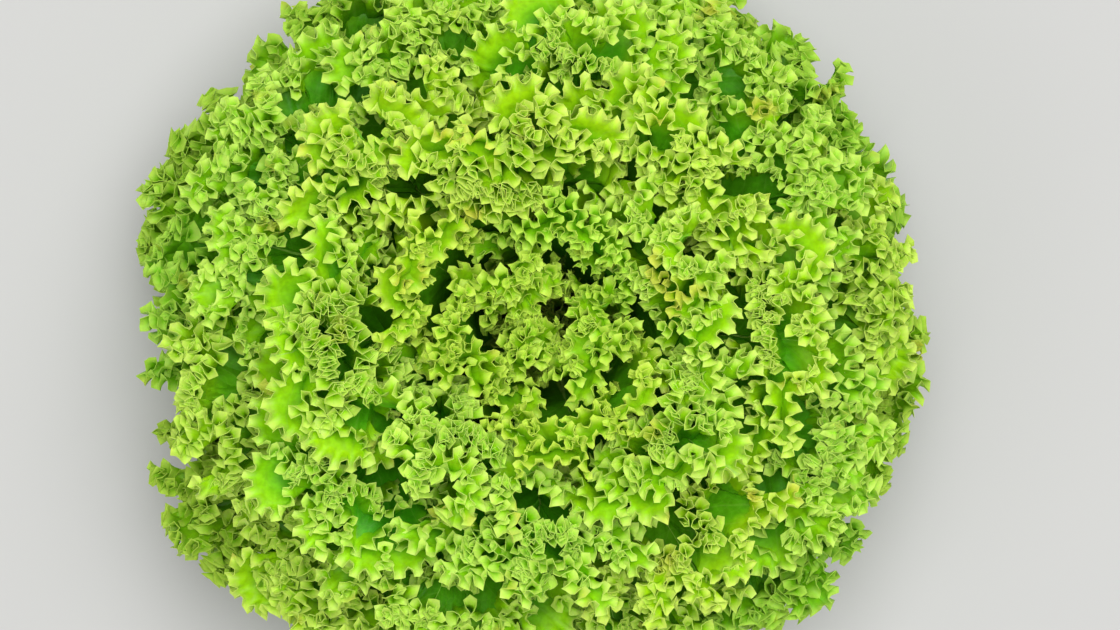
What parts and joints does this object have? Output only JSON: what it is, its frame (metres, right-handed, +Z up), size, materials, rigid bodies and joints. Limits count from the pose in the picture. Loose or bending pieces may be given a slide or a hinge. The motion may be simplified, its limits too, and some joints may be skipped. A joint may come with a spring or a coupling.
{
  "type": "lollo bionda lettuce",
  "caption": "Round head of loose-leaf green lettuce with tightly frilled leaf edges nested round a short cut stem, standing on its cut face.",
  "frame": {"origin": "centre of the stem's flat cut face, which the head stands on", "axes": "+Z up along the stem, towards the heart; +X and +Y across the head, +Y to the top of the picture"},
  "size_m": [0.2678, 0.2721, 0.1417],
  "materials": {
    "stem": "pale, moist cut core",
    "outer_leaf": "mid green, soft sheen, paler ribs",
    "middle_leaf": "bright green, soft sheen, yellow-green edges",
    "inner_leaf": "light green, soft sheen, yellow-green edges",
    "heart_leaf": "pale young green, soft sheen"
  },
  "bodies": {
    "root": {"heart_leaf_01": "heart_leaf", "heart_leaf_02": "heart_leaf", "heart_leaf_03": "heart_leaf", "heart_leaf_04": "heart_leaf", "heart_leaf_05": "heart_leaf", "heart_leaf_06": "heart_leaf", "heart_leaf_07": "heart_leaf", "inner_leaf_01": "inner_leaf", "inner_leaf_02": "inner_leaf", "inner_leaf_03": "inner_leaf", "inner_leaf_04": "inner_leaf", "inner_leaf_05": "inner_leaf", "inner_leaf_06": "inner_leaf", "inner_leaf_07": "inner_leaf", "inner_leaf_08": "inner_leaf", "inner_leaf_09": "inner_leaf", "inner_leaf_10": "inner_leaf", "inner_leaf_11": "inner_leaf", "inner_leaf_12": "inner_leaf", "middle_leaf_01": "middle_leaf", "middle_leaf_02": "middle_leaf", "middle_leaf_03": "middle_leaf", "middle_leaf_04": "middle_leaf", "middle_leaf_05": "middle_leaf", "middle_leaf_06": "middle_leaf", "middle_leaf_07": "middle_leaf", "middle_leaf_08": "middle_leaf", "middle_leaf_09": "middle_leaf", "middle_leaf_10": "middle_leaf", "middle_leaf_11": "middle_leaf", "outer_leaf_01": "outer_leaf", "outer_leaf_02": "outer_leaf", "outer_leaf_03": "outer_leaf", "outer_leaf_04": "outer_leaf", "outer_leaf_05": "outer_leaf", "outer_leaf_06": "outer_leaf", "outer_leaf_07": "outer_leaf", "outer_leaf_08": "outer_leaf", "outer_leaf_09": "outer_leaf", "outer_leaf_10": "outer_leaf", "outer_leaf_11": "outer_leaf", "outer_leaf_12": "outer_leaf", "outer_leaf_13": "outer_leaf", "outer_leaf_14": "outer_leaf", "outer_leaf_15": "outer_leaf", "outer_leaf_16": "outer_leaf", "outer_leaf_17": "outer_leaf", "outer_leaf_18": "outer_leaf", "outer_leaf_19": "outer_leaf", "outer_leaf_20": "outer_leaf", "stem": "stem"}
  },
  "joints": []
}
